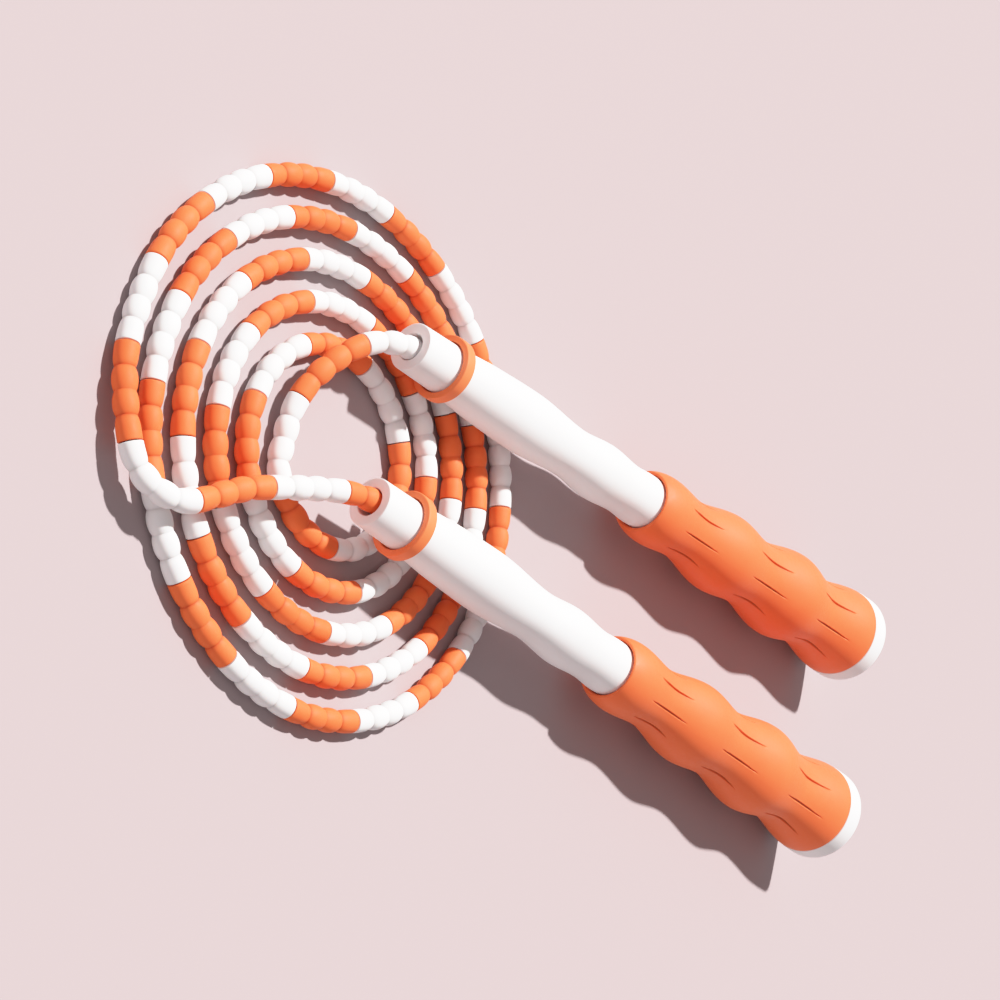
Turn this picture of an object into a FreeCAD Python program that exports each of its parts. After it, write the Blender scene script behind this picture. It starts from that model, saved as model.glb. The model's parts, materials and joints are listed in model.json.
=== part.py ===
import FreeCAD, Part
import Sketcher
import math
import os

# Jump rope with soft beads, laid down as a flat coil with both handles lying on it.
# Millimetres. +Z is up and z = 0 is the floor. The origin is on the floor, midway between the
# two handles and halfway along them. Their noses are at -X and their ends at +X.

# ---------------------------------------------------------------- driving sizes
# A handle is measured along its own axis, from its nose's front face.
SIZES = {
    # rope
    "bead_diameter": 6.6,
    "bead_bore": 3.1,
    "bead_gap": 0.2,
    "core_diameter": 2.5,
    "coil_first_radius": 77.9,
    "coil_pitch": 11.42,
    "coil_turns": 4.843,
    # nose cap
    "nose_front_radius": 7.0,
    "nose_back_radius": 7.4,
    "nose_edge_round": 0.4,
    "bead_socket_radius": 4.3,
    "bead_socket_depth": 16.5,
    "shoulder_width": 1.5,
    "core_hole_radius": 1.9,
    "spigot_radius": 6.3,
    "spigot_recess_radius": 4.6,
    "nose_length": 25.0,
    # collar ring
    "ring_front": 13.4,
    "ring_back": 17.0,
    "ring_bore_radius": 7.45,
    "ring_radius": 9.7,
    "ring_edge_round": 0.45,
    # handle tube
    "tube_front": 17.05,
    "tube_back": 238.3,
    "tube_bore_radius": 6.35,
    "tube_seat_radius": 8.4,
    "tube_neck_radius": 7.9,
    "tube_shoulder_radius": 8.6,
    "tube_shoulder_place": 32.0,
    "tube_belly_radius": 9.2,
    "tube_belly_place": 52.0,
    "tube_waist_radius": 7.8,
    "tube_waist_place": 76.0,
    "tube_second_belly_radius": 9.0,
    "tube_second_belly_place": 91.0,
    "tube_second_waist_radius": 8.1,
    "tube_second_waist_place": 105.0,
    # grip sleeve
    "grip_front": 114.6,
    "grip_back": 238.8,
    "grip_bore_radius": 8.45,
    "grip_mouth_radius": 9.4,
    "grip_mouth_depth": 3.0,
    "grip_rim_radius": 10.4,
    "grip_first_crest": 122.0,
    "grip_wave_pitch": 39.0,
    "grip_crest_to_waist": 16.4,
    "grip_crest_1_radius": 12.0,
    "grip_crest_2_radius": 13.4,
    "grip_crest_3_radius": 15.0,
    "grip_waist_1_radius": 10.1,
    "grip_waist_2_radius": 11.6,
    "grip_waist_3_radius": 12.4,
    "grip_end_radius": 15.5,
    # end cap
    "cap_radius": 15.6,
    "cap_thickness": 8.4,
    "cap_edge_round": 2.4,
    "plug_radius": 6.3,
    "plug_length": 14.0,
    # inside the nose
    "washer_radius": 4.4,
    "washer_bore_radius": 1.6,
    "washer_front": 18.1,
    "washer_back": 18.9,
    "stopper_radius": 3.4,
    "stopper_front": 19.05,
    "stopper_back": 27.0,
    "stopper_edge_round": 0.8,
    # how a handle lies on the coil and the floor
    "handle_gap": 0.3,
}

HANDLE_NOSES = {"a": (-121.94, 23.9), "b": (-125.34, -23.9)}
HANDLE_YAWS = {"a": 2.0, "b": -2.0}
GRIP_WAVES = 3

# The coil runs clockwise seen from above, from its outer turn inwards.
COIL_CENTRE = (-128.54, -10.9)
COIL_START_ANGLE = -196.2
COIL_POINTS_PER_TURN = 12

# Routes of the two free ends of the rope, each listed from the nose's mouth to the coil. Inside
# the nose the rope runs along the handle's own axis, from the stopper to NOSE_RUN from the front.
NOSE_RUN = 8.0
ROUTE_A = [
    (-125.64, 22.6, 16.6),
    (-136.34, 18.6, 13.2),
    (-145.44, 6.6, 8.6),
    (-149.84, -4.5, 4.4),
    (-151.54, -13.0, 3.3),
    (-150.24, -20.2, 3.3),
    (-145.74, -25.5, 3.3),
]
ROUTE_B = [
    (-129.64, -23.1, 16.6),
    (-154.64, -30.7, 13.0),
    (-171.34, -41.5, 10.8),
    (-183.04, -47.9, 10.8),
    (-196.14, -43.4, 9.6),
    (-201.84, -34.1, 5.0),
    (-208.64, -9.5, 3.3),
    (-203.34, 10.8, 3.3),
]
TAIL_BEADS = {"a": 3, "b": 6}
# Length of bare core between the stopper and the last bead, because the beads have some play.
BARE_CORE = {"a": 9.7, "b": 2.8}

doc = FreeCAD.newDocument("jump_rope")


# ---------------------------------------------------------------- spreadsheet and helpers
def fill_sheet():
    """Puts every driving size in a sheet, with its name as the cell's alias."""
    sheet = doc.addObject("Spreadsheet::Sheet", "Sizes")
    for row, (name, number) in enumerate(SIZES.items(), start=1):
        sheet.set("A%d" % row, name)
        sheet.set("B%d" % row, str(number))
        sheet.setAlias("B%d" % row, name)
    doc.recompute()
    return sheet


SHEET = fill_sheet()


def size(name):
    """Reads one size from the sheet."""
    return float(SHEET.get(name))


def sum_of(terms):
    """Adds up sizes given as words, such as 'grip_back + cap_thickness'."""
    total = 0.0
    sign = 1.0
    for word in terms.split():
        if word in "+-":
            sign = -1.0 if word == "-" else 1.0
        elif word != "0":
            total += sign * size(word)
    return total


def sheet_expression(terms):
    """Turns the same words into an expression on the sheet's cells."""
    return " ".join(word if word in "+-" else "Sizes." + word for word in terms.split())


def origin_plane(body, role):
    """Finds one of a body's own origin planes."""
    for feature in body.Origin.OriginFeatures:
        if feature.Role == role:
            return feature
    raise ValueError("no plane " + role)


def tie_coordinate(sketch, kind, line, terms):
    """Ties one coordinate of a line's first point to the sheet, or to an axis where it is 0."""
    if terms == "0":
        axis = -2 if kind == "DistanceX" else -1
        sketch.addConstraint(Sketcher.Constraint("PointOnObject", line, 1, axis))
        return
    index = sketch.addConstraint(Sketcher.Constraint(kind, -1, 1, line, 1, sum_of(terms)))
    name = "%s%d" % (kind[-1], line)
    sketch.renameConstraint(index, name)
    sketch.setExpression("Constraints." + name, sheet_expression(terms))


def turned_body(label, outline):
    """A body turned about its X axis. The outline lists (place along X, radius) as words."""
    body = doc.addObject("PartDesign::Body", label)
    sketch = body.newObject("Sketcher::SketchObject", label + "_outline")
    sketch.AttachmentSupport = [(origin_plane(body, "XY_Plane"), "")]
    sketch.MapMode = "FlatFace"
    points = [FreeCAD.Vector(sum_of(x), sum_of(r), 0) for x, r in outline]
    count = len(points)
    for line in range(count):
        sketch.addGeometry(Part.LineSegment(points[line], points[(line + 1) % count]), False)
    for line in range(count):
        sketch.addConstraint(Sketcher.Constraint("Coincident", line, 2, (line + 1) % count, 1))
    for line, (x, r) in enumerate(outline):
        tie_coordinate(sketch, "DistanceX", line, x)
        tie_coordinate(sketch, "DistanceY", line, r)
    turned = body.newObject("PartDesign::Revolution", label + "_turned")
    turned.Profile = sketch
    turned.ReferenceAxis = (sketch, ["H_Axis"])
    turned.Angle = 360.0
    doc.recompute()
    return body


def round_edges(body, places, radius_name):
    """Rounds a turned body's circular edges that lie at the given (x, radius) places."""
    names = []
    for number, edge in enumerate(body.Shape.Edges, start=1):
        if not isinstance(edge.Curve, Part.Circle):
            continue
        for x, r in places:
            if abs(edge.Curve.Center.x - sum_of(x)) < 0.01 and abs(edge.Curve.Radius - size(r)) < 0.01:
                names.append("Edge%d" % number)
    base = body.Tip
    fillet = body.newObject("PartDesign::Fillet", body.Name + "_rounded")
    fillet.Base = (base, names)
    fillet.setExpression("Radius", "Sizes." + radius_name)
    doc.recompute()


def shaped(label, shape, placement=FreeCAD.Placement()):
    """A sub-part whose shape comes from Part's own functions."""
    feature = doc.addObject("Part::Feature", label)
    feature.Shape = shape
    feature.Placement = placement
    return feature


# ---------------------------------------------------------------- where the handles lie
def ring_middle():
    return (size("ring_front") + size("ring_back")) / 2


def cap_rest_place():
    """Where the cap's straight side ends, which is what touches the floor."""
    return size("grip_back") + size("cap_thickness") - size("cap_edge_round")


def handle_placement(side):
    """The collar ring rests on the coil and the end cap rests on the floor."""
    ring_height = size("bead_diameter") + size("handle_gap") + size("ring_radius")
    drop = ring_height - size("cap_radius")
    droop = math.asin(drop / (cap_rest_place() - ring_middle()))
    nose_height = ring_height + ring_middle() * math.sin(droop)
    nose = FreeCAD.Vector(*HANDLE_NOSES[side], nose_height)
    yaw = FreeCAD.Rotation(FreeCAD.Vector(0, 0, 1), HANDLE_YAWS[side])
    tilt = FreeCAD.Rotation(FreeCAD.Vector(0, 1, 0), math.degrees(droop))
    return FreeCAD.Placement(nose, yaw * tilt)


# ---------------------------------------------------------------- handle pieces
def nose_cap(side):
    """White nose: a socket for the first bead, a shoulder for the core and a spigot in the tube."""
    front = "bead_socket_depth"
    back = "bead_socket_depth + shoulder_width"
    body = turned_body("nose_cap_" + side, [
        ("0", "bead_socket_radius"),
        ("0", "nose_front_radius"),
        ("ring_back", "nose_back_radius"),
        ("ring_back", "spigot_radius"),
        ("nose_length", "spigot_radius"),
        ("nose_length", "spigot_recess_radius"),
        (back, "spigot_recess_radius"),
        (back, "core_hole_radius"),
        (front, "core_hole_radius"),
        (front, "bead_socket_radius"),
    ])
    round_edges(body, [("0", "nose_front_radius")], "nose_edge_round")
    return body


def collar_ring(side):
    """Orange ring round the back of the nose cap, against the tube's mouth."""
    body = turned_body("collar_ring_" + side, [
        ("ring_front", "ring_bore_radius"),
        ("ring_front", "ring_radius"),
        ("ring_back", "ring_radius"),
        ("ring_back", "ring_bore_radius"),
    ])
    round_edges(body, [("ring_front", "ring_radius"), ("ring_back", "ring_radius")], "ring_edge_round")
    return body


def smooth_line(places):
    """A smooth curve in the XY plane through (place along X, radius) pairs."""
    curve = Part.BSplineCurve()
    curve.interpolate([FreeCAD.Vector(x, r, 0) for x, r in places])
    return curve.toShape()


def straight_line(start, end):
    return Part.LineSegment(FreeCAD.Vector(*start, 0), FreeCAD.Vector(*end, 0)).toShape()


def turned_shape(edges):
    """Turns the face inside a closed outline about the X axis."""
    face = Part.Face(Part.Wire(edges))
    return face.revolve(FreeCAD.Vector(0, 0, 0), FreeCAD.Vector(1, 0, 0), 360)


def handle_tube(side):
    """Hollow white tube with two soft bellies, and a straight seat under the grip."""
    mouth = (size("tube_front"), size("tube_neck_radius"))
    seat = (size("grip_front"), size("tube_seat_radius"))
    back = (size("tube_back"), size("tube_seat_radius"))
    bore_back = (size("tube_back"), size("tube_bore_radius"))
    bore_front = (size("tube_front"), size("tube_bore_radius"))
    bellies = smooth_line([
        mouth,
        (size("tube_shoulder_place"), size("tube_shoulder_radius")),
        (size("tube_belly_place"), size("tube_belly_radius")),
        (size("tube_waist_place"), size("tube_waist_radius")),
        (size("tube_second_belly_place"), size("tube_second_belly_radius")),
        (size("tube_second_waist_place"), size("tube_second_waist_radius")),
        seat,
    ])
    return shaped("handle_tube_" + side, turned_shape([
        bellies,
        straight_line(seat, back),
        straight_line(back, bore_back),
        straight_line(bore_back, bore_front),
        straight_line(bore_front, mouth),
    ]))


def grip_wave():
    """Crests and waists of the grip, which both grow towards the end of the handle."""
    places = []
    for number in range(GRIP_WAVES):
        crest_place = size("grip_first_crest") + number * size("grip_wave_pitch")
        waist_place = crest_place + size("grip_crest_to_waist")
        places.append((crest_place, size("grip_crest_%d_radius" % (number + 1))))
        places.append((waist_place, size("grip_waist_%d_radius" % (number + 1))))
    return places


def grip_sleeve(side):
    """Orange sleeve with a flared mouth and a wavy outside, pushed over the tube."""
    rim = (size("grip_front"), size("grip_rim_radius"))
    end = (size("grip_back"), size("grip_end_radius"))
    bore_back = (size("grip_back"), size("grip_bore_radius"))
    bore_front = (size("grip_front") + size("grip_mouth_depth"), size("grip_bore_radius"))
    mouth = (size("grip_front"), size("grip_mouth_radius"))
    wave = smooth_line([rim] + grip_wave() + [end])
    return shaped("grip_sleeve_" + side, turned_shape([
        wave,
        straight_line(end, bore_back),
        straight_line(bore_back, bore_front),
        straight_line(bore_front, mouth),
        straight_line(mouth, rim),
    ]))


def end_cap(side):
    """White cap with a plug that pushes into the open end of the tube."""
    body = turned_body("end_cap_" + side, [
        ("grip_back - plug_length", "0"),
        ("grip_back - plug_length", "plug_radius"),
        ("grip_back", "plug_radius"),
        ("grip_back", "cap_radius"),
        ("grip_back + cap_thickness", "cap_radius"),
        ("grip_back + cap_thickness", "0"),
    ])
    round_edges(body, [("grip_back + cap_thickness", "cap_radius")], "cap_edge_round")
    return body


def thrust_washer(side):
    """Washer between the nose's shoulder and the stopper, so the handle spins freely."""
    return turned_body("thrust_washer_" + side, [
        ("washer_front", "washer_bore_radius"),
        ("washer_front", "washer_radius"),
        ("washer_back", "washer_radius"),
        ("washer_back", "washer_bore_radius"),
    ])


def rope_stopper(side):
    """Knob crimped on the end of the core, which can't pass the nose's shoulder."""
    body = turned_body("rope_stopper_" + side, [
        ("stopper_front", "0"),
        ("stopper_front", "stopper_radius"),
        ("stopper_back", "stopper_radius"),
        ("stopper_back", "0"),
    ])
    round_edges(body, [("stopper_back", "stopper_radius")], "stopper_edge_round")
    return body


# ---------------------------------------------------------------- rope
def rounded_route(side, corners):
    """Straight runs joined by tangent arcs, each as large as its two runs allow."""
    where = handle_placement(side)
    points = [where.multVec(FreeCAD.Vector(place, 0, 0)) for place in (size("stopper_front"), NOSE_RUN)]
    points += [FreeCAD.Vector(*corner) for corner in corners]
    edges = []
    radii = []
    start = points[0]
    for before, corner, after in zip(points, points[1:], points[2:]):
        to_before = (before - corner).normalize()
        to_after = (after - corner).normalize()
        half_turn = (math.pi - to_before.getAngle(to_after)) / 2
        tangent = 0.45 * min((before - corner).Length, (after - corner).Length)
        radius = tangent / math.tan(half_turn)
        radii.append(round(radius, 1))
        inward = (to_before + to_after).normalize()
        middle = corner + inward * (radius / math.cos(half_turn) - radius)
        arc_start = corner + to_before * tangent
        arc_end = corner + to_after * tangent
        edges.append(Part.LineSegment(start, arc_start).toShape())
        edges.append(Part.Arc(arc_start, middle, arc_end).toShape())
        start = arc_end
    edges.append(Part.LineSegment(start, points[-1]).toShape())
    print("route", side, "radii", radii, "length", round(sum(edge.Length for edge in edges), 1))
    return edges


def part_of_route(edges, first, last):
    """The stretch of a route between two lengths, measured along it."""
    pieces = []
    passed = 0.0
    for edge in edges:
        low = max(first - passed, 0.0)
        high = min(last - passed, edge.Length)
        if high - low > 0.001:
            low_place = edge.getParameterByLength(low)
            high_place = edge.getParameterByLength(high)
            pieces.append(edge.Curve.toShape(low_place, high_place))
        passed += edge.Length
    return pieces


def swept(edges, radius):
    """A round bar along a route."""
    wire = Part.Wire(edges)
    start = edges[0].valueAt(edges[0].FirstParameter)
    direction = edges[0].tangentAt(edges[0].FirstParameter)
    circle = Part.Wire(Part.Circle(start, direction, radius).toShape())
    return wire.makePipeShell([circle], True, False)


def rope_core(side, route):
    """The cord inside the beads, from its stopper to the coil."""
    radius = size("core_diameter") / 2
    bar = swept(route, radius)
    length = sum(edge.Length for edge in route)
    print("rope_core_" + side, "volume", round(bar.Volume, 1), "section x length",
          round(math.pi * radius * radius * length, 1))
    return shaped("rope_core_" + side, bar)


def tail_beads(side, route):
    """The soft beads on one free end, bored for the core and bent with it."""
    length = sum(edge.Length for edge in route)
    pitch = (length - BARE_CORE[side]) / TAIL_BEADS[side]
    print("bead pitch", side, round(pitch, 2))
    for number in range(TAIL_BEADS[side]):
        first = BARE_CORE[side] + number * pitch
        last = first + pitch - size("bead_gap")
        stretch = part_of_route(route, first, last)
        outside = swept(stretch, size("bead_diameter") / 2)
        bore = swept(stretch, size("bead_bore") / 2)
        shaped("bead_%s%d" % (side, number + 1), outside.cut(bore))


def coil_radius(turn):
    """Radius of the rope's centre line, which shrinks evenly with the turns."""
    return size("coil_first_radius") - size("coil_pitch") * turn


def coil_place(turn, sideways):
    """A point of the coil, moved outwards from the rope's centre line by sideways."""
    angle = math.radians(COIL_START_ANGLE - 360 * turn)
    radius = coil_radius(turn) + sideways
    return FreeCAD.Vector(
        COIL_CENTRE[0] + radius * math.cos(angle), COIL_CENTRE[1] + radius * math.sin(angle), 0)


def coil_outline(first_turn, sideways):
    """One turn of the spiral as a curve, closed by a straight step along the radius."""
    points = [
        coil_place(first_turn + step / COIL_POINTS_PER_TURN, sideways)
        for step in range(COIL_POINTS_PER_TURN + 1)
    ]
    turn = Part.BSplineCurve()
    turn.interpolate(points)
    return Part.Wire([turn.toShape(), Part.LineSegment(points[-1], points[0]).toShape()])


def rope_coil():
    """Outer shape of the flat coil: a disc one rope thick with the inner loop open."""
    rope_radius = size("bead_diameter") / 2
    outside = coil_outline(0.0, rope_radius)
    inside = coil_outline(size("coil_turns") - 1, -rope_radius)
    disc = Part.Face(outside).extrude(FreeCAD.Vector(0, 0, size("bead_diameter")))
    middle = Part.Face(inside).extrude(FreeCAD.Vector(0, 0, size("bead_diameter")))
    return shaped("rope_coil", disc.cut(middle))


# ---------------------------------------------------------------- build, check and write
for side_name in ("a", "b"):
    where = handle_placement(side_name)
    pieces = [
        nose_cap(side_name),
        collar_ring(side_name),
        handle_tube(side_name),
        grip_sleeve(side_name),
        end_cap(side_name),
        thrust_washer(side_name),
        rope_stopper(side_name),
    ]
    for piece in pieces:
        piece.Placement = where
rope_coil()
for side_name, corner_list in (("a", ROUTE_A), ("b", ROUTE_B)):
    tail = rounded_route(side_name, corner_list)
    rope_core(side_name, tail)
    tail_beads(side_name, tail)
doc.recompute()

SUB_PARTS = [item for item in doc.Objects if item.isDerivedFrom("PartDesign::Body")]
SUB_PARTS += [item for item in doc.Objects if item.TypeId == "Part::Feature"]
for item in doc.Objects:
    if "Invalid" in item.State or "Error" in item.State:
        raise RuntimeError(item.Name + " failed")
for item in SUB_PARTS:
    if item.Shape.isNull() or not item.Shape.isValid():
        raise RuntimeError(item.Name + " has no valid shape")
os.makedirs("parts", exist_ok=True)
for item in SUB_PARTS:
    item.Shape.exportStep("parts/%s.step" % item.Label)
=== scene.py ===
import json
import math

import bmesh
import bpy
import numpy as np
from mathutils import Matrix, Vector


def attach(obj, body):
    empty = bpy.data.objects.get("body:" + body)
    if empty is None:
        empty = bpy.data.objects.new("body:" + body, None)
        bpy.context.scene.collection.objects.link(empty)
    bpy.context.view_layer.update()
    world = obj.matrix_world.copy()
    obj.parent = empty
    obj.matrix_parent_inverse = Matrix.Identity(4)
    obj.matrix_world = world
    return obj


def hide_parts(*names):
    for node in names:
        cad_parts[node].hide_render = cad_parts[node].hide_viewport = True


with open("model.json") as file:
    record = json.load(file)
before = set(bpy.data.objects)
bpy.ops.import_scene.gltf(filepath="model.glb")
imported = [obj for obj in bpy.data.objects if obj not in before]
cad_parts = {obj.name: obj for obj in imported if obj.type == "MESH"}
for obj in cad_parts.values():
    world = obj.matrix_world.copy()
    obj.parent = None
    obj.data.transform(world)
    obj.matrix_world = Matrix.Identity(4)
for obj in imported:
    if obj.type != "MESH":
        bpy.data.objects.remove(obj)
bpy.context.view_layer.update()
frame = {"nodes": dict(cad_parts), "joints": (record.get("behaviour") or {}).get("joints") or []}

# Lengths below are in millimetres, and MM turns them into the frame's metres. Only a material's
# bump and subsurface distances are in metres, and its noise scales per metre, as Blender takes them.
MM = 0.001
SIDES = ("a", "b")  # the two handles, and the free end of the rope in each

# ---------------------------------------------------------------- rope: sizes and route
# The coil is a flat spiral that starts with its outer turn, at the end of the free run from handle b.
COIL_CENTRE = (-128.54, -10.9)
COIL_START_ANGLE = -189.4
COIL_FIRST_RADIUS = 78.1
COIL_PITCH = 11.42
COIL_TURNS = 4.933
COIL_POINTS = 68
ROPE_HEIGHT = 3.3
# Control points of the free runs, from each nose to the coil.
ROUTE_A = [
    (-125.64, 23.2, 16.6),
    (-136.34, 18.6, 13.2),
    (-145.44, 6.6, 8.6),
    (-148.74, -5.3, 4.4),
    (-147.74, -17.0, 3.3),
]
ROUTE_B = [
    (-129.64, -22.7, 16.6),
    (-162.4, -35.3, 12.5),
    (-171.2, -41.2, 11.2),
    (-184.1, -49.9, 10.9),
    (-196.5, -46.6, 7.2),
    (-203.3, -32.8, 5.6),
    (-207.2, -13.8, 3.3),
]
STOPPER_FRONT = 19.05  # how far inside a nose the rope ends
NOSE_RUN = 8.0  # how far inside a nose the rope is still on its axis
BARE_CORE = {"a": 9.67, "b": 3.7}  # core without beads at each end
CORE_DIAMETER = 2.5

BEADS = 70
BEAD_GAP = 0.34
BEAD_SEGMENTS = 36
BEAD_SEEDS = {"orange": 11, "white": 7}
# Painted shade in each bead's creases, at its ends and in its bore, where the surface lies deep.
CREASE_SHADE_RADIUS = 2.95  # painted shade: a bead's surface is darker where it lies deeper than this
CREASE_SHADE_FADE = 0.4
CREASE_SHADE_STRENGTH = 0.6
TANGENT_STEP = 0.6  # half the length over which a bead's direction is taken


# ---------------------------------------------------------------- helpers
def new_object(name, data):
    made = bpy.data.objects.new(name, data)
    bpy.context.scene.collection.objects.link(made)
    return made


def smooth_mesh(name, vertices, faces, sharp_degrees=42):
    """A smooth-shaded mesh whose normals face outwards, with its sharp edges kept sharp."""
    mesh = bpy.data.meshes.new(name)
    mesh.from_pydata([tuple(v) for v in vertices], [], faces)
    work = bmesh.new()
    work.from_mesh(mesh)
    bmesh.ops.recalc_face_normals(work, faces=work.faces)
    work.to_mesh(mesh)
    work.free()
    mesh.shade_smooth()
    mesh.set_sharp_from_angle(angle=math.radians(sharp_degrees))
    return mesh


def rounded(corners, steps=4):
    """An outline of (x, r) corners, where a third number rounds the corner by that radius."""
    points = []
    for i, corner in enumerate(corners):
        here = Vector(corner[:2])
        if len(corner) == 2:
            points.append(here)
            continue
        to_before = (Vector(corners[i - 1][:2]) - here).normalized()
        to_after = (Vector(corners[(i + 1) % len(corners)][:2]) - here).normalized()
        back = corner[2] / math.tan(to_before.angle(to_after) / 2)
        start = here + to_before * back
        end = here + to_after * back
        for step in range(steps + 1):
            t = step / steps
            points.append(start.lerp(here, t).lerp(here.lerp(end, t), t))
    return points


def smooth_profile(places, spacing, first_slope=0.0):
    """Points on a smooth curve through (x, r) places, level at crests, at waists and at the end."""
    slopes = []
    for i in range(len(places)):
        before = places[max(i - 1, 0)]
        after = places[min(i + 1, len(places) - 1)]
        here = places[i]
        rise_in = (here[1] - before[1]) / max(here[0] - before[0], 1e-6)
        rise_out = (after[1] - here[1]) / max(after[0] - here[0], 1e-6)
        if i == 0:
            slopes.append(first_slope)
        elif rise_in * rise_out <= 0:
            slopes.append(0.0)
        else:
            slopes.append(2 * rise_in * rise_out / (rise_in + rise_out))
    points = []
    for (x0, r0), (x1, r1), m0, m1 in zip(places, places[1:], slopes, slopes[1:]):
        span = x1 - x0
        count = max(2, round(span / spacing))
        for step in range(count):
            t = step / count
            r = (
                r0 * (2 * t**3 - 3 * t**2 + 1)
                + m0 * span * (t**3 - 2 * t**2 + t)
                + r1 * (3 * t**2 - 2 * t**3)
                + m1 * span * (t**3 - t**2)
            )
            points.append(Vector((x0 + span * t, r)))
    points.append(Vector(places[-1]))
    return points


# ---------------------------------------------------------------- handles: frame and lathe
def handle_matrix(side):
    """From a handle's own millimetres, X along its axis from the nose's front, to the row frame."""
    joint = next(j for j in frame["joints"] if j["name"] == "handle_spin_" + side)
    along = Vector(joint["axis"]).normalized()
    across = Vector((0, 0, 1)).cross(along).normalized()
    turned = Matrix((along, across, along.cross(across))).transposed().to_4x4()
    return Matrix.Translation(Vector(joint["pos_m"])) @ turned @ Matrix.Scale(MM, 4)


HANDLE = {side: handle_matrix(side) for side in SIDES}


def even_angles(count):
    return [2 * math.pi * k / count for k in range(count)]


def lathe(name, side, outline, angles, sink=None):
    """Turns a closed outline of (x, r) about a handle's axis. sink(x, r, angle) lowers the surface."""
    vertices = []
    sunk = []
    rings = []
    for x, r in outline:
        if r < 1e-6:
            rings.append([len(vertices)] * len(angles))
            vertices.append(HANDLE[side] @ Vector((x, 0, 0)))
            sunk.append(0.0)
            continue
        rings.append(list(range(len(vertices), len(vertices) + len(angles))))
        for angle in angles:
            depth = sink(x, r, angle) if sink else 0.0
            radius = r - depth
            sunk.append(max(depth, 0.0))
            place = Vector((x, radius * math.cos(angle), radius * math.sin(angle)))
            vertices.append(HANDLE[side] @ place)
    faces = []
    for low, high in zip(rings, rings[1:] + rings[:1]):
        for k in range(len(angles)):
            j = (k + 1) % len(angles)
            loop = [low[k], high[k], high[j], low[j]]
            loop = [v for i, v in enumerate(loop) if v != loop[i - 1]]
            if len(loop) > 2:
                faces.append(loop)
    mesh = smooth_mesh(name, vertices, faces)
    if sink:
        layer = mesh.attributes.new("sunk_mm", "FLOAT", "POINT")
        layer.data.foreach_set("value", sunk)
    return new_object(name, mesh)


# ---------------------------------------------------------------- camera
CAMERA_PLACE = (-531.64, -245.6, 409.0)
CAMERA_HEADING = 28.11  # degrees from +X towards +Y
CAMERA_PITCH = -37.07
CAMERA_ROLL = 82.49
CAMERA_LENS = 82.8


def add_camera():
    heading = math.radians(CAMERA_HEADING)
    pitch = math.radians(CAMERA_PITCH)
    roll = math.radians(CAMERA_ROLL)
    forward = Vector((
        math.cos(pitch) * math.cos(heading),
        math.cos(pitch) * math.sin(heading),
        math.sin(pitch),
    ))
    level_right = forward.cross(Vector((0, 0, 1))).normalized()
    level_up = level_right.cross(forward)
    right = math.cos(roll) * level_right + math.sin(roll) * level_up
    up = math.cos(roll) * level_up - math.sin(roll) * level_right
    data = bpy.data.cameras.new("camera")
    data.sensor_width = 36.0
    data.lens = CAMERA_LENS
    data.clip_start = 10 * MM
    data.clip_end = 20000 * MM
    camera = new_object("camera", data)
    turn = Matrix((right, up, -forward)).transposed().to_4x4()
    camera.matrix_world = Matrix.Translation(Vector(CAMERA_PLACE) * MM) @ turn
    bpy.context.scene.camera = camera


add_camera()


# ---------------------------------------------------------------- materials
class Nodes:
    """A new material with its Principled shader, and short ways to add nodes to it."""

    def __init__(self, name, colour, roughness):
        self.material = bpy.data.materials.new(name)
        self.material.use_nodes = True
        self.tree = self.material.node_tree
        self.shader = self.tree.nodes["Principled BSDF"]
        self.set(Base_Color=(*colour, 1), Roughness=roughness)
        self.coordinates = self.tree.nodes.new("ShaderNodeTexCoord").outputs["Object"]

    def add(self, kind, inputs=(), **settings):
        node = self.tree.nodes.new(kind)
        for key, value in settings.items():
            setattr(node, key, value)
        for key, value in dict(inputs).items():
            if isinstance(value, bpy.types.NodeSocket):
                self.tree.links.new(value, node.inputs[key])
            else:
                node.inputs[key].default_value = value
        return node

    def noise(self, scale, detail=3.0, roughness=0.55):
        return self.add(
            "ShaderNodeTexNoise",
            {"Vector": self.coordinates, "Scale": scale, "Detail": detail, "Roughness": roughness},
        ).outputs["Fac"]

    def spread(self, value, low, high, start=0.3, end=0.7):
        """Maps a noise value from start..end to low..high."""
        return self.add(
            "ShaderNodeMapRange",
            {"Value": value, "From Min": start, "From Max": end, "To Min": low, "To Max": high},
        ).outputs["Result"]

    def mix(self, factor, first, second):
        node = self.add("ShaderNodeMix", data_type="RGBA")
        self.tree.links.new(factor, node.inputs["Factor"])
        for socket, colour in ((node.inputs[6], first), (node.inputs[7], second)):
            if isinstance(colour, bpy.types.NodeSocket):
                self.tree.links.new(colour, socket)
            else:
                socket.default_value = (*colour, 1)
        return node.outputs[2]

    def connect(self, output, socket):
        self.tree.links.new(output, self.shader.inputs[socket])

    def set(self, **sockets):
        """Sets the shader's own sockets, where each name's underscores stand for spaces."""
        for name, value in sockets.items():
            self.shader.inputs[name.replace("_", " ")].default_value = value

    def subsurface(self, weight, radius, scale):
        self.set(Subsurface_Weight=weight, Subsurface_Radius=radius, Subsurface_Scale=scale)

    def bumps(self, layers):
        """Stacks bump layers of (height, strength, distance in metres)."""
        normal = None
        for height, strength, distance in layers:
            inputs = {"Height": height, "Strength": strength, "Distance": distance}
            if normal is not None:
                inputs["Normal"] = normal
            normal = self.add("ShaderNodeBump", inputs).outputs["Normal"]
        self.connect(normal, "Normal")


def toned(colour, factor):
    return tuple(min(c * factor, 1.0) for c in colour)


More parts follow.
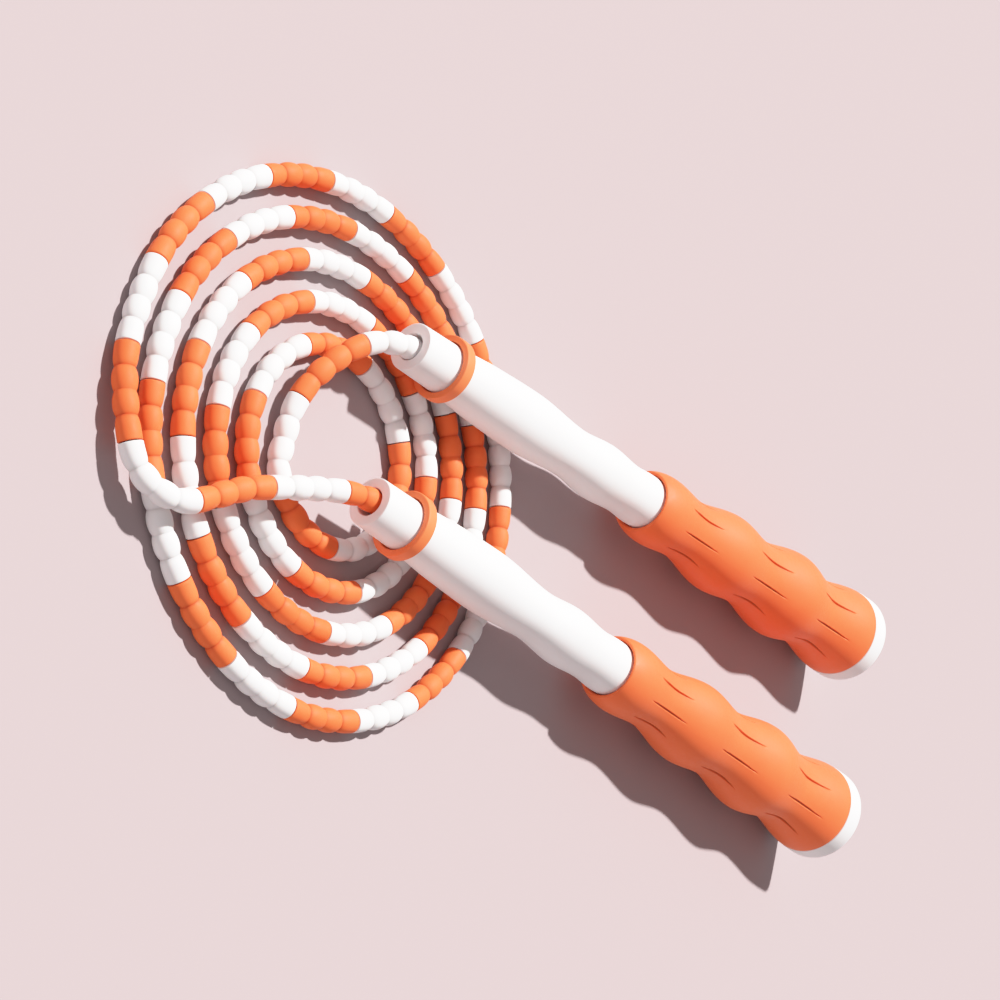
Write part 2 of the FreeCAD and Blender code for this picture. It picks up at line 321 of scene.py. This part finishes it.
def soft_bead(name, colour, deeper, crease_shade_colour):
    """Soft satin plastic of a bead: its own slight tone, painted shade in its creases, at its ends and
    in its bore, and a faint moulded skin.
    """
    m = Nodes(name, colour, 0.6)
    shade = m.add("ShaderNodeAttribute", attribute_name="bead_shade").outputs["Fac"]
    cloud = m.noise(90.0, 2.0)
    both = m.add("ShaderNodeMath", {0: shade, 1: cloud}, operation="ADD").outputs[0]
    skin = m.mix(m.spread(both, 0.0, 1.0, start=0.4, end=1.5), colour, deeper)
    # Painted shade darkens the creases, the ends and the bore towards the shade colour.
    crease_shade = m.add("ShaderNodeAttribute", attribute_name="bead_crease_shade").outputs["Fac"]
    m.connect(m.mix(crease_shade, skin, crease_shade_colour), "Base Color")
    m.connect(m.spread(m.noise(700.0), 0.54, 0.68), "Roughness")
    m.bumps([(m.noise(2600.0, 2.0), 0.25, 0.00003), (m.noise(420.0, 2.0), 0.2, 0.00006)])
    m.set(Specular_IOR_Level=0.2)
    m.subsurface(0.12, (1.0, 0.45, 0.3), 0.0012)
    return m.material


def hard_plastic(name, colour, deeper, roughness):
    """Moulded plastic with a soft gloss and the faint waviness of a moulded skin."""
    m = Nodes(name, colour, roughness)
    m.connect(m.mix(m.spread(m.noise(60.0, 2.0), 0.0, 1.0), colour, deeper), "Base Color")
    m.connect(m.spread(m.noise(500.0), roughness - 0.05, roughness + 0.08), "Roughness")
    m.bumps([(m.noise(3200.0, 2.0), 0.12, 0.00002), (m.noise(70.0, 1.0), 0.1, 0.0002)])
    m.set(Specular_IOR_Level=0.3)
    m.subsurface(0.06, (1.0, 0.6, 0.5), 0.0015)
    return m.material


def silicone(name, colour, deeper, slot_shade_colour):
    """Matte silicone rubber with a fine powdery skin, and painted shade where its slots are cut."""
    m = Nodes(name, colour, 0.55)
    skin = m.mix(m.spread(m.noise(45.0, 3.0), 0.0, 1.0), colour, deeper)
    # Painted shade: darker where the slots are cut, most in the middle of each.
    sunk = m.add("ShaderNodeAttribute", attribute_name="sunk_mm").outputs["Fac"]
    slot_shade = m.spread(sunk, 0.0, 0.6, start=0.05, end=0.5)
    m.connect(m.mix(slot_shade, skin, slot_shade_colour), "Base Color")
    m.connect(m.spread(m.noise(900.0), 0.48, 0.64), "Roughness")
    m.bumps([(m.noise(5200.0, 2.0), 0.3, 0.00003), (m.noise(120.0, 2.0), 0.15, 0.00015)])
    m.set(Specular_IOR_Level=0.32)
    m.set(Sheen_Weight=0.08, Sheen_Roughness=0.5, Sheen_Tint=(1.0, 0.62, 0.45, 1))
    m.subsurface(0.1, (1.0, 0.35, 0.2), 0.0015)
    return m.material


def braided(name, colour, deeper):
    """Thin braided cord, as small cells that stand for its crossing strands."""
    m = Nodes(name, colour, 0.7)
    strands = m.add(
        "ShaderNodeTexVoronoi", {"Vector": m.coordinates, "Scale": 2600.0}
    ).outputs["Distance"]
    m.connect(m.mix(m.spread(strands, 0.0, 1.0, start=0.1, end=0.8), colour, deeper), "Base Color")
    m.bumps([(strands, 0.5, 0.0001), (m.noise(5000.0), 0.2, 0.00003)])
    return m.material


def turned_metal(name, colour, roughness):
    """Turned or stamped metal with fine tool marks."""
    m = Nodes(name, colour, roughness)
    m.set(Metallic=1.0)
    m.connect(m.mix(m.spread(m.noise(300.0), 0.0, 1.0), colour, toned(colour, 0.8)), "Base Color")
    m.connect(m.spread(m.noise(1500.0), roughness - 0.06, roughness + 0.1), "Roughness")
    m.bumps([(m.noise(4000.0, 2.0), 0.3, 0.00003)])
    return m.material


# Each set is (main colour, slightly deeper), and for beads and grips also the colour of the painted
# shade in their creases, bead ends, bores and slots.
WHITE = (0.86, 0.845, 0.84)
BEAD_WHITES = (WHITE, (0.82, 0.80, 0.795), (0.52, 0.48, 0.47))
BEAD_ORANGES = ((0.93, 0.17, 0.05), (0.90, 0.15, 0.042), (0.50, 0.035, 0.008))
PLASTIC_WHITES = (WHITE, (0.84, 0.822, 0.818))
PLASTIC_ORANGES = ((0.90, 0.205, 0.072), (0.90, 0.188, 0.062))
GRIP_ORANGES = ((0.93, 0.162, 0.047), (0.90, 0.146, 0.04), (0.36, 0.11, 0.045))
CORD_WHITES = ((0.8, 0.78, 0.75), (0.55, 0.53, 0.5))
STEEL = (0.6, 0.6, 0.6)
BRASS = (0.75, 0.58, 0.3)

MATERIALS = {
    "white_bead": soft_bead("white_bead", *BEAD_WHITES),
    "orange_bead": soft_bead("orange_bead", *BEAD_ORANGES),
    "white_plastic": hard_plastic("white_plastic", *PLASTIC_WHITES, roughness=0.46),
    "orange_plastic": hard_plastic("orange_plastic", *PLASTIC_ORANGES, roughness=0.5),
    "orange_grip": silicone("orange_grip", *GRIP_ORANGES),
    "core_cord": braided("core_cord", *CORD_WHITES),
    "washer_steel": turned_metal("washer_steel", STEEL, roughness=0.3),
    "stopper_brass": turned_metal("stopper_brass", BRASS, roughness=0.35),
}


def paint(piece, slot):
    piece.data.materials.clear()
    piece.data.materials.append(MATERIALS[slot])


def finish_piece(piece, body, slot, *nodes):
    """Gives a piece its material, its body and its slot, and hides the CAD nodes that it stands for."""
    paint(piece, slot)
    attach(piece, body)
    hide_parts(*nodes)


# ---------------------------------------------------------------- rope
def coil_points():
    """Control points of the coil's turns. Each lies outside the turn, which passes between them."""
    points = []
    half_step = math.pi * COIL_TURNS / COIL_POINTS
    for step in range(COIL_POINTS):
        turn = (step + 0.5) * COIL_TURNS / COIL_POINTS
        angle = math.radians(COIL_START_ANGLE - 360 * turn)
        radius = (COIL_FIRST_RADIUS - COIL_PITCH * turn) / math.cos(half_step)
        points.append((
            COIL_CENTRE[0] + radius * math.cos(angle),
            COIL_CENTRE[1] + radius * math.sin(angle),
            ROPE_HEIGHT,
        ))
    return points


def rope_route():
    """The rope's control points in metres, from the stopper in handle b to the one in handle a."""
    start = [HANDLE["b"] @ Vector((x, 0, 0)) for x in (STOPPER_FRONT, NOSE_RUN)]
    end = [HANDLE["a"] @ Vector((x, 0, 0)) for x in (NOSE_RUN, STOPPER_FRONT)]
    between = ROUTE_B + coil_points() + ROUTE_A[::-1]
    return start + [Vector(p) * MM for p in between] + end


def add_core():
    route = rope_route()
    data = bpy.data.curves.new("rope_core", "CURVE")
    data.dimensions = "3D"
    data.resolution_u = 16
    spline = data.splines.new("NURBS")
    spline.points.add(len(route) - 1)
    for point, place in zip(spline.points, route):
        point.co = (*place, 1)
    spline.order_u = 3
    spline.use_endpoint_u = True
    return new_object("rope_core", data)


def centre_line(curve):
    """Points of a curve that has no bevel yet, in order."""
    bpy.context.view_layer.update()
    line = bpy.data.meshes.new_from_object(curve)
    points = np.array([v.co for v in line.vertices], float)
    bpy.data.meshes.remove(line)
    return points


core = add_core()
LINE = centre_line(core)
core.data.bevel_depth = CORE_DIAMETER / 2 * MM
core.data.bevel_resolution = 4
core.data.use_fill_caps = True
STEPS = np.linalg.norm(np.diff(LINE, axis=0), axis=1)
ALONG = np.concatenate([[0.0], np.cumsum(STEPS)])


def on_rope(distance):
    """The point of the rope's centre line at a distance from its start, in metres."""
    return Vector([float(np.interp(distance, ALONG, LINE[:, axis])) for axis in range(3)])


def bead_outline(length):
    """(place along the bead, radius) round the bead's section, outside first and then its bore.

    The bead is a collar, two balls and a collar. A crease parts each collar from its ball, and a
    waist parts the two balls.
    """
    quarter = length / 4
    collar, crease, waist, ball, bore = 3.17, 2.55, 2.7, 3.3, 1.55
    edge = 0.22
    recess = 0.05

    def lobe(start, low, high, steps=12):
        """A ball: a full round arc from one crease to the next."""
        points = []
        for step in range(steps + 1):
            t = (1 - math.cos(math.pi * step / steps)) / 2
            foot = low + (high - low) * t
            points.append((start + quarter * t, foot + (ball - foot) * (1 - abs(2 * t - 1) ** 2.3)))
        return points

    front = [(recess, bore + 0.5)]
    for step in range(4):
        turn = math.pi / 2 * step / 3
        front.append((edge * (1 - math.cos(turn)), collar - edge * (1 - math.sin(turn))))
    for t in (0.2, 0.35, 0.5, 0.62, 0.72, 0.8, 0.87, 0.93, 0.97):
        front.append((quarter * t, crease + (collar - crease) * (1 - t**4.5)))
    balls = lobe(quarter, crease, waist) + lobe(2 * quarter, waist, crease)[1:]
    back = [(length - x, r) for x, r in reversed(front)]
    inside = [(length - recess, bore + 0.15)]
    inside += [(length * (0.97 - 0.94 * step / 8), bore) for step in range(9)]
    inside += [(recess, bore + 0.15)]
    return front + balls + back + inside


def bead_mesh(colour, numbers, pitch, start):
    """All the beads of one colour, each bent along the rope, with a turn and a shade of its own."""
    name = "beads_" + colour
    length = pitch / MM - BEAD_GAP
    outline = bead_outline(length)
    vertices = []
    faces = []
    shades = []
    crease_shades = []
    rng = np.random.default_rng(BEAD_SEEDS[colour])
    for number in numbers:
        first = start + number * pitch + BEAD_GAP / 2 * MM
        spin = rng.uniform(0, 2 * math.pi)
        shade = rng.uniform(0, 1)
        rings = []
        for x, r in outline:
            here = on_rope(first + x * MM)
            ahead = on_rope(first + (x + TANGENT_STEP) * MM)
            behind = on_rope(first + (x - TANGENT_STEP) * MM)
            tangent = (ahead - behind).normalized()
            across = tangent.cross(Vector((0, 0, 1))).normalized()
            up = across.cross(tangent)
            # Painted shade: the deeper a point lies below the bead's outer surface, the darker its
            # colour.
            sunk = min(1.0, max(0.0, (CREASE_SHADE_RADIUS - r) / CREASE_SHADE_FADE))
            rings.append(len(vertices))
            for k in range(BEAD_SEGMENTS):
                angle = spin + 2 * math.pi * k / BEAD_SEGMENTS
                radial = across * math.cos(angle) + up * math.sin(angle)
                vertices.append(here + radial * (r * MM))
                shades.append(shade)
                crease_shades.append(CREASE_SHADE_STRENGTH * sunk**2)
        for low, high in zip(rings, rings[1:] + rings[:1]):
            for k in range(BEAD_SEGMENTS):
                j = (k + 1) % BEAD_SEGMENTS
                faces.append((low + k, high + k, high + j, low + j))
    mesh = smooth_mesh(name, vertices, faces, sharp_degrees=50)
    for layer_name, values in (("bead_shade", shades), ("bead_crease_shade", crease_shades)):
        layer = mesh.attributes.new(layer_name, "FLOAT", "POINT")
        layer.data.foreach_set("value", values)
    return new_object(name, mesh)


bead_start = BARE_CORE["b"] * MM
bead_pitch = (ALONG[-1] - bead_start - BARE_CORE["a"] * MM) / BEADS
orange_beads = bead_mesh("orange", range(0, BEADS, 2), bead_pitch, bead_start)
white_beads = bead_mesh("white", range(1, BEADS, 2), bead_pitch, bead_start)
ORANGE_NODES = ("rope_coil", "bead_b1", "bead_b3", "bead_b5", "bead_a2")
WHITE_NODES = ("bead_b2", "bead_b4", "bead_b6", "bead_a1", "bead_a3")

finish_piece(core, "rope", "core_cord", "rope_core_a", "rope_core_b")
finish_piece(orange_beads, "rope", "orange_bead", *ORANGE_NODES)
finish_piece(white_beads, "rope", "white_bead", *WHITE_NODES)

for side in SIDES:
    paint(frame["nodes"]["rope_stopper_" + side], "stopper_brass")
    paint(frame["nodes"]["thrust_washer_" + side], "washer_steel")


# ---------------------------------------------------------------- handles
# Outlines are (x, r) points: x from the nose's front along the axis, and r from the axis.
EVEN_COLUMNS = 120
NOSE_COLUMNS = 96
GRIP_FRONT = 114.6
GRIP_BACK = 238.8
SLOTS_AROUND = 9
SLOT_ANGLE = 124.5
SLOT_ROWS = [(137.0, 19.0), (176.6, 21.5), (216.7, 23.0)]  # (middle, length)
SLOT_DEPTH = 0.65
SLOT_HALF_WIDTH = 0.4
SLOT_LIP = 0.05
SLOTS_OUTSIDE = 9.0  # the slots are cut in the skin outside this radius
SLOT_COLUMNS = (0.0, 0.16, 0.32, 0.48, 0.64, 0.85, 1.2)  # from a slot's middle, at COLUMN_RADIUS
COLUMN_RADIUS = 12.0
PLAIN_STEPS = 6  # from one slot's last column to the next slot's first


def slot_sink(x, r, angle):
    """Depth of the grip's slots at a place, where each is widest and deepest in its middle."""
    step = 2 * math.pi / SLOTS_AROUND
    offset = (angle - math.radians(SLOT_ANGLE) + step / 2) % step - step / 2
    aside = abs(offset) * r
    depth = 0.0
    for middle, length in SLOT_ROWS:
        t = 2 * (x - middle) / length
        if abs(t) >= 1 or r < SLOTS_OUTSIDE:
            continue
        lens = (1 - t * t) ** 0.6
        half = SLOT_HALF_WIDTH * (0.35 + 0.65 * lens)
        if aside < 2.2 * half:
            inside = max(0.0, 1 - aside / half)
            lip = math.exp(-((aside - 1.35 * half) / (0.45 * half)) ** 2)
            depth = lens * (SLOT_DEPTH * min(1.0, 1.7 * inside) - SLOT_LIP * lip)
    return depth


def grip_angles():
    """Columns round the grip, close together at the slots."""
    step = 2 * math.pi / SLOTS_AROUND
    offsets = sorted({sign * n / COLUMN_RADIUS for n in SLOT_COLUMNS for sign in (-1, 1)})
    gap = step - 2 * offsets[-1]
    angles = []
    for number in range(SLOTS_AROUND):
        middle = math.radians(SLOT_ANGLE) + number * step
        angles += [middle + offset for offset in offsets]
        last = middle + offsets[-1]
        angles += [last + gap * k / PLAIN_STEPS for k in range(1, PLAIN_STEPS)]
    return angles


def grip_outline():
    """From inside the mouth over its rolled rim, and along three crests to the back."""
    front, back = GRIP_FRONT, GRIP_BACK
    mouth = [
        (front + 3.4, 8.45), (front + 1.4, 8.65), (front + 0.4, 9.0), (front + 0.05, 9.3),
        (front, 9.5), (front + 0.08, 9.75), (front + 0.35, 9.95),
    ]
    wave = smooth_profile([
        (front + 0.8, 10.15), (123.5, 11.5), (138.4, 10.1), (161.0, 13.4), (177.4, 11.6),
        (200.0, 15.0), (216.4, 12.4), (back - 0.5, 15.5),
    ], spacing=0.75, first_slope=0.4)
    end = [(back - 0.15, 15.42), (back, 15.2), (back, 8.45)]
    return [Vector(p) for p in mouth] + wave + [Vector(p) for p in end]


def tube_outline():
    """Two bellies between the ring and the grip, then straight inside the grip, and hollow."""
    bellies = smooth_profile([
        (17.6, 7.7), (32.0, 8.6), (52.0, 9.2), (76.0, 7.8), (91.0, 9.0), (105.0, 8.05),
        (113.0, 8.5), (118.0, 8.4),
    ], spacing=1.0)
    front = [Vector(p) for p in [(17.1, 6.4), (17.05, 7.3), (17.15, 7.55)]]
    back = [Vector(p) for p in [(238.3, 8.4), (238.3, 6.4)]]
    return front + bellies + back


def nose_outline():
    """A socket in front, a shoulder with a hole for the core, and a spigot that goes in the tube."""
    return rounded([
        (16.5, 1.9), (16.5, 3.95, 0.4), (0.4, 3.95), (0.0, 4.2, 0.15), (0.0, 7.0, 0.4),
        (17.02, 7.4), (17.02, 6.3), (25.0, 6.3, 0.3), (25.0, 4.6), (18.0, 4.6), (18.0, 1.9),
    ])


def ring_outline():
    """A plain ring that stands a little clear of the nose at its front."""
    return rounded([
        (13.4, 7.85, 0.2), (13.4, 9.7, 0.45), (17.0, 9.7, 0.45), (17.0, 7.45), (14.8, 7.45),
        (14.4, 7.8),
    ], steps=6)


def cap_outline():
    """A plug for the tube in front, then a disc with a shallow recess in its back."""
    return rounded([
        (224.8, 0.0), (224.8, 6.3, 0.8), (238.82, 6.3), (238.82, 15.6, 0.35), (247.2, 15.6, 2.9),
        (247.2, 11.8, 0.5), (246.7, 11.3, 0.5), (246.85, 0.0),
    ], steps=6)


HANDLE_PIECES = [  # (piece, outline, columns, sink, body, slot, CAD node)
    ("nose", nose_outline(), even_angles(NOSE_COLUMNS), None, "handle", "white_plastic", "nose_cap"),
    ("ring", ring_outline(), even_angles(EVEN_COLUMNS), None, "handle", "orange_plastic", "collar_ring"),
    ("tube", tube_outline(), even_angles(EVEN_COLUMNS), None, "handle", "white_plastic", "handle_tube"),
    ("grip", grip_outline(), grip_angles(), slot_sink, "handle", "orange_grip", "grip_sleeve"),
    ("cap", cap_outline(), even_angles(EVEN_COLUMNS), None, "cap", "white_plastic", "end_cap"),
]

for side in SIDES:
    for kind, outline, columns, sink, body, slot, node in HANDLE_PIECES:
        made = lathe(f"{kind}_{side}", side, outline, columns, sink)
        finish_piece(made, f"{body}_{side}", slot, f"{node}_{side}")


# ---------------------------------------------------------------- floor and light
def add_floor():
    half = 6000 * MM
    corners = [(-half, -half, 0), (half, -half, 0), (half, half, 0), (-half, half, 0)]
    data = bpy.data.meshes.new("floor")
    data.from_pydata(corners, [], [(0, 1, 2, 3)])
    floor = new_object("floor", data)
    m = Nodes("floor", (0.414, 0.338, 0.345), 0.9)
    m.set(Specular_IOR_Level=0.1)
    floor.data.materials.append(m.material)


def add_sun(name, azimuth, elevation, energy, spread, colour):
    """A sun seen from the floor at this azimuth, from +X towards +Y, and elevation, in degrees."""
    data = bpy.data.lights.new(name, "SUN")
    data.energy = energy
    data.angle = math.radians(spread)
    data.color = colour
    sun = new_object(name, data)
    around, above = math.radians(azimuth), math.radians(elevation)
    towards = Vector((
        math.cos(above) * math.cos(around),
        math.cos(above) * math.sin(around),
        math.sin(above),
    ))
    sun.rotation_mode = "QUATERNION"
    sun.rotation_quaternion = towards.to_track_quat("Z", "Y")


def add_world(ambient, backdrop):
    """Soft light of the ambient colour from all round, which itself looks like a pale backdrop."""
    world = bpy.data.worlds.new("world")
    world.use_nodes = True
    tree = world.node_tree
    seen = tree.nodes.new("ShaderNodeLightPath").outputs["Is Camera Ray"]
    mix = tree.nodes.new("ShaderNodeMix")
    mix.data_type = "RGBA"
    tree.links.new(seen, mix.inputs["Factor"])
    mix.inputs[6].default_value = (*ambient, 1)
    mix.inputs[7].default_value = (*backdrop, 1)
    tree.links.new(mix.outputs[2], tree.nodes["Background"].inputs["Color"])
    bpy.context.scene.world = world


def add_light():
    add_sun("key", azimuth=80.0, elevation=57.9, energy=6.45, spread=2.5, colour=(1.0, 0.985, 0.97))
    add_sun("fill", azimuth=215.0, elevation=14.0, energy=0.35, spread=40.0, colour=(1.0, 0.98, 1.0))
    add_world(ambient=(0.35, 0.317, 0.32), backdrop=(0.84, 0.72, 0.73))


def soften_highlights():
    """Standard colours with a shoulder, so that bright whites keep a little of their shading."""
    view = bpy.context.scene.view_settings
    view.view_transform = "Standard"
    view.use_curve_mapping = True
    view.curve_mapping.white_level = (2.0, 2.0, 2.0)
    for place in ((0.3, 0.6), (0.5, 0.87), (0.75, 0.965)):
        view.curve_mapping.curves[3].points.new(*place)
    view.curve_mapping.update()


add_floor()
add_light()
soften_highlights()
